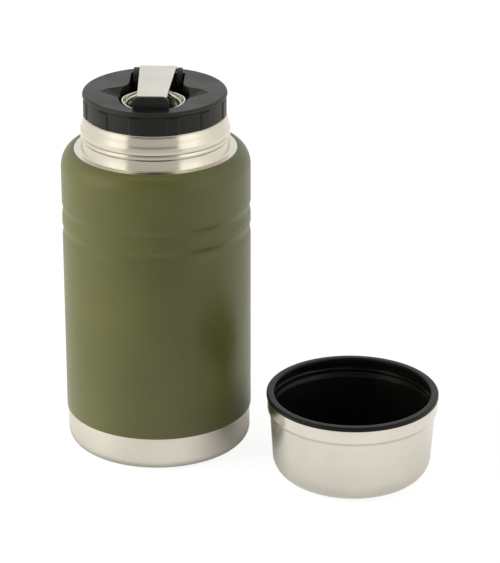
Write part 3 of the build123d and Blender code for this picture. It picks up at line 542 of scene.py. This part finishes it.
bright_steel, tree, shader = new_material("bright_spoon_steel")
place = object_place(tree)
drawn = add(tree, "ShaderNodeMapping", {"Vector": place, "Scale": (1100.0, 18.0, 1100.0)})
lines = noise(tree, drawn.outputs[0], Scale=1.0, Detail=3.0)
cloud = noise(tree, place, Scale=60.0, Detail=2.0)
tint(tree, shader, cloud, dark=(0.62, 0.605, 0.53), light=(0.68, 0.665, 0.59))
roughen(tree, shader, lines, 0.1, 0.2)
shader.inputs["Metallic"].default_value = 1.0
bump(tree, shader, lines, 0.02, 0.00001)
for node in ("spoon_bowl", "spoon_handle", "spoon_hinge_pin"):
    finish_with(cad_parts[node], bright_steel)

# ------------------------------------------------------------------ catch tab
# A black moulded tab with a smooth face. Its foot is fixed in the cover, in front of the
# handle's free end, and it keeps the handle folded.

# The tab's black is a darker copy of the cover's black: painted shade for its upright face.
tab_painted_shade_black = black_moulding(
    "catch_tab_painted_shade_black", dark=(0.005, 0.005, 0.0048), light=(0.008, 0.008, 0.0076),
    rough=(0.36, 0.46), depth=0.25, gloss=0.3)
finish_with(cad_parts["spoon_tab"], tab_painted_shade_black)

# ------------------------------------------------------------------ cup lid shell
# The lid that doubles as a cup: satin stainless sheet, drawn with a soft taper, a
# rounded foot and a small step below the rim. It stands open side up beside the jar.

CUP_PLACE = (105.2 * MM, -43.5 * MM, 0.0)
CUP_SHEET = 0.6
CUP_EDGE = 43.9
CUP_FOOT_R = 31.5

cup_steel = steel(
    "satin_cup_steel", dark=(0.68, 0.645, 0.595), light=(0.75, 0.715, 0.66),
    rough=(0.14, 0.24), stretch=0.5, depth=0.05)


def cup_face(inset, top):
    """The cup's wall read from the middle of its foot out and up, an inset within the steel."""
    low = 0.8 + inset
    face = [(0, low), (25.4, low), (26.0, low - 0.15), (26.6, inset + 0.1), (27.0, inset)]
    face += [(CUP_FOOT_R, inset)]
    face += arc(CUP_FOOT_R, 11.0, 10.4 - inset, 11.0 - inset, -90, 0, 20)[1:]
    step = [(43.45, 34.6), (43.62, 35.3), (43.9, 35.85), (44.5, 36.6), (44.72, 37.0)]
    rim = [(44.8, 37.5), (44.8, top)]
    return face + [(r - inset, z) for r, z in step + rim]


cup = lathe("cup_lid_shell", cup_face(0, CUP_EDGE) + list(reversed(cup_face(CUP_SHEET, CUP_EDGE))))
cup.location = CUP_PLACE
dress(cup, cup_steel, "cup", "brushed_steel", "cup_shell")

# ------------------------------------------------------------------ cup lid liner
# Black moulded liner inside the lid. Its rim rolls over the steel's edge, and the thread
# below the rim screws down over the neck's beads.

LINER_R = 42.95
LINER_THREAD_RISE = 0.6

# The liner's black is darker than the cover's black: partly its own black, partly painted shade for
# the deep hollow of the cup.
liner_painted_shade_black = black_moulding(
    "cup_liner_painted_shade_black", dark=(0.003, 0.003, 0.0027), light=(0.006, 0.006, 0.0053),
    rough=(0.26, 0.36), depth=0.2, gloss=0.18)


def liner_thread(turn, r, z):
    """Winds a thread inwards round the liner's upper wall, with run-outs at both ends."""
    if abs(r - LINER_R) < 0.1 and 31.0 < z < 43.0:
        ends = share_of(z - 33.2, 1.2) * share_of(41.6 - z, 1.2)
        return r - LINER_THREAD_RISE * ends * thread_crest(turn, z, 0.8), z
    return r, z


liner_out = [(44.15, CUP_EDGE)] + list(reversed(cup_face(0.65, CUP_EDGE)))[1:]
liner_in = cup_face(1.85, 37.6)[:-1] + [(LINER_R, 37.6 + 0.35 * i) for i in range(15)]
liner_in += [(42.9, 42.95)]
rim_in = [(41.7, 43.2), (41.3, 43.6), (41.3, 45.3)]
rim_in += arc(42.2, 45.3, 0.9, 0.9, 180, 90, 7)[1:]
rim_out = arc(44.5, 45.4, 0.8, 0.8, 90, 0, 7) + [(45.3, 44.2), (45.05, 43.9)]
liner = lathe(
    "cup_lid_liner", liner_in + rim_in + rim_out + liner_out, around=360, shape=liner_thread)
liner.location = CUP_PLACE
dress(liner, liner_painted_shade_black, "cup", "black_plastic", "cup_liner")

# ------------------------------------------------------------------ table
# A plain white table top that keeps a soft shadow. Bright steel mirrors a glow on it with
# painted shade close to the jar and the cup, which shade it, and along a strip that runs out
# towards the camera, and with painted light on a patch at the front left.

TABLE_HALF = 4
PAINTED_TABLE_SHADES = (
    # centre, inner and outer radius of a round patch, its level in the mirrored table: painted
    # shade below 1, painted light above 1
    ((0, 0, 0), 0.046, 0.058, 0.4),
    (CUP_PLACE, 0.04, 0.085, 0.66),
    ((0.066, -0.006, 0), 0.02, 0.06, 0.4),
    ((-0.08, -0.055, 0), 0.025, 0.07, 1.2),
)


def facing(tree, place):
    """Sockets of a place's parts, and its bearing: 1 straight behind the jar, -1 before it."""
    split = add(tree, "ShaderNodeSeparateXYZ", {0: place}).outputs
    level = add(tree, "ShaderNodeCombineXYZ", {"X": split["X"], "Y": split["Y"], "Z": 0.0})
    reach = add(tree, "ShaderNodeVectorMath", {0: level.outputs[0]}, operation="LENGTH")
    return split, maths(tree, "DIVIDE", split["Y"], reach.outputs["Value"])


def sight_of(tree, rays):
    """1 where the table or room is looked at straight or through glass, 0 elsewhere."""
    return maths(tree, "MAXIMUM", rays["Is Camera Ray"], rays["Is Transmission Ray"])


corners = [(-TABLE_HALF, -TABLE_HALF, 0), (TABLE_HALF, -TABLE_HALF, 0)]
corners += [(TABLE_HALF, TABLE_HALF, 0), (-TABLE_HALF, TABLE_HALF, 0)]
floor_mesh = bpy.data.meshes.new("table_top")
floor_mesh.from_pydata(corners, [], [(0, 1, 2, 3)])
floor = bpy.data.objects.new("table_top", floor_mesh)
bpy.context.scene.collection.objects.link(floor)

table_white = bpy.data.materials.new("table_white")
table_white.use_nodes = True
tree = table_white.node_tree
tree.nodes.clear()
place = object_place(tree)
split, bearing = facing(tree, place)
# painted shade: the mirrored glow is dimmer along a strip that runs out towards the camera
close_by = spread(tree, split["Y"], -0.36, -0.14, 0.0, 1.0)
aside = spread(tree, bearing, -0.78, -0.66, 0.0, 1.0)
shine = spread(tree, maths(tree, "MAXIMUM", close_by, aside), 0.0, 1.0, 0.6, 1.05)
# painted shade near the jar's and cup's feet and between them, painted light on a patch at the
# front left
for spot, inner, outer, level in PAINTED_TABLE_SHADES:
    away = add(tree, "ShaderNodeVectorMath", {0: place, 1: spot}, operation="DISTANCE")
    patch = spread(tree, away.outputs["Value"], inner, outer, level, 1.0)
    shine = maths(tree, "MULTIPLY", shine, patch)
rays = add(tree, "ShaderNodeLightPath").outputs
sight_share = maths(tree, "MULTIPLY", sight_of(tree, rays), 0.8)
mirror_share = maths(tree, "MULTIPLY", rays["Is Glossy Ray"], 0.85)
paint = add(tree, "ShaderNodeBsdfDiffuse", {"Color": (0.8, 0.8, 0.8, 1)})
glow = add(tree, "ShaderNodeEmission", {"Color": (1, 1, 1, 1), "Strength": 1.1})
mirrored = add(tree, "ShaderNodeEmission", {"Color": (1, 0.985, 0.92, 1), "Strength": shine})
white_top = add(tree, "ShaderNodeMixShader", {
    0: sight_share, 1: paint.outputs[0], 2: glow.outputs[0]})
surface = add(tree, "ShaderNodeMixShader", {
    0: mirror_share, 1: white_top.outputs[0], 2: mirrored.outputs[0]})
add(tree, "ShaderNodeOutputMaterial", {0: surface.outputs[0]})
floor_mesh.materials.append(table_white)

# ------------------------------------------------------------------ room, lamps, camera
# The room is white to the eye and lights the jar from its left side. Bright steel mirrors
# its walls, with a dim strip behind the camera. The lamps are soft and don't show in steel.

ROOM_WALLS = (
    # place round the room, 0 before the jar and 1 behind it, and the grey that steel mirrors
    (0.0, 0.58), (0.1, 0.64), (0.135, 1.4), (0.3, 1.5),
    (0.42, 1.2), (0.6, 1.0), (0.8, 1.0), (1.0, 0.86),
)
ROOM_SIDES = (
    # place from the left, 0, to the right, 1, and the grey that lights the jar
    (0.0, 1.35), (0.5, 0.3), (1.0, 0.5),
)

world = bpy.data.worlds.new("studio")
world.use_nodes = True
bpy.context.scene.world = world
tree = world.node_tree
tree.nodes.clear()


def greys(tree, source, blue, stops):
    """Warm greys along a value that runs from -1 to 1."""
    ramp = tree.nodes.new("ShaderNodeValToRGB")
    for position, grey in stops:
        stop = ramp.color_ramp.elements.new(position)
        stop.color = (grey, grey * 0.985, grey * blue, 1)
    ramp.color_ramp.elements.remove(ramp.color_ramp.elements[0])
    ramp.color_ramp.elements.remove(ramp.color_ramp.elements[-1])
    tree.links.new(spread(tree, source, -1.0, 1.0, 0.0, 1.0), ramp.inputs[0])
    return ramp.outputs["Color"]


split, bearing = facing(tree, add(tree, "ShaderNodeTexCoord").outputs["Generated"])
walls = greys(tree, bearing, 0.9, ROOM_WALLS)
sides = greys(tree, split["X"], 0.94, ROOM_SIDES)
ceiling = spread(tree, bearing, -0.8, -0.65, 0.15, 0.8)
wall_level = spread(tree, split["Z"], 0.3, 0.65, 1.0, ceiling)
rays = add(tree, "ShaderNodeLightPath").outputs
lit = add(tree, "ShaderNodeBackground", {"Color": sides, "Strength": 1.0})
mirrored = add(tree, "ShaderNodeBackground", {"Color": walls, "Strength": wall_level})
white = add(tree, "ShaderNodeBackground", {"Color": (1, 1, 1, 1), "Strength": 1.0})
room = add(tree, "ShaderNodeMixShader", {
    0: rays["Is Glossy Ray"], 1: lit.outputs[0], 2: mirrored.outputs[0]})
seen_room = add(tree, "ShaderNodeMixShader", {
    0: sight_of(tree, rays), 1: room.outputs[0], 2: white.outputs[0]})
add(tree, "ShaderNodeOutputWorld", {0: seen_room.outputs[0]})

LAMP_AIM = Vector((0.03, 0, 0.1))
LAMPS = (
    # name, place in m, width and height in m, power in W
    ("left_softbox", (-0.98, -0.3, 0.5), 0.8, 0.9, 15),
    ("right_strip", (0.95, 0.1, 0.5), 0.4, 0.8, 4),
    ("top_fill", (0.1, -0.3, 1.2), 0.9, 0.9, 1),
)
for name, place, width, height, power in LAMPS:
    data = bpy.data.lights.new(name, "AREA")
    data.shape = "RECTANGLE"
    data.size = width
    data.size_y = height
    data.energy = power
    data.color = (1, 0.985, 0.93)
    lamp = bpy.data.objects.new(name, data)
    lamp.visible_glossy = False
    lamp.location = place
    lamp.rotation_euler = (LAMP_AIM - Vector(place)).to_track_quat("-Z", "Y").to_euler()
    bpy.context.scene.collection.objects.link(lamp)

camera_data = bpy.data.cameras.new("camera")
camera_data.lens = 173.9
camera_data.sensor_width = 36
camera = bpy.data.objects.new("camera", camera_data)
camera.location = (0.09875, -1.33993, 0.65796)
camera.rotation_euler = (math.radians(67.02), 0, math.radians(2.1))
bpy.context.scene.collection.objects.link(camera)
bpy.context.scene.camera = camera
bpy.context.scene.view_settings.view_transform = "Standard"
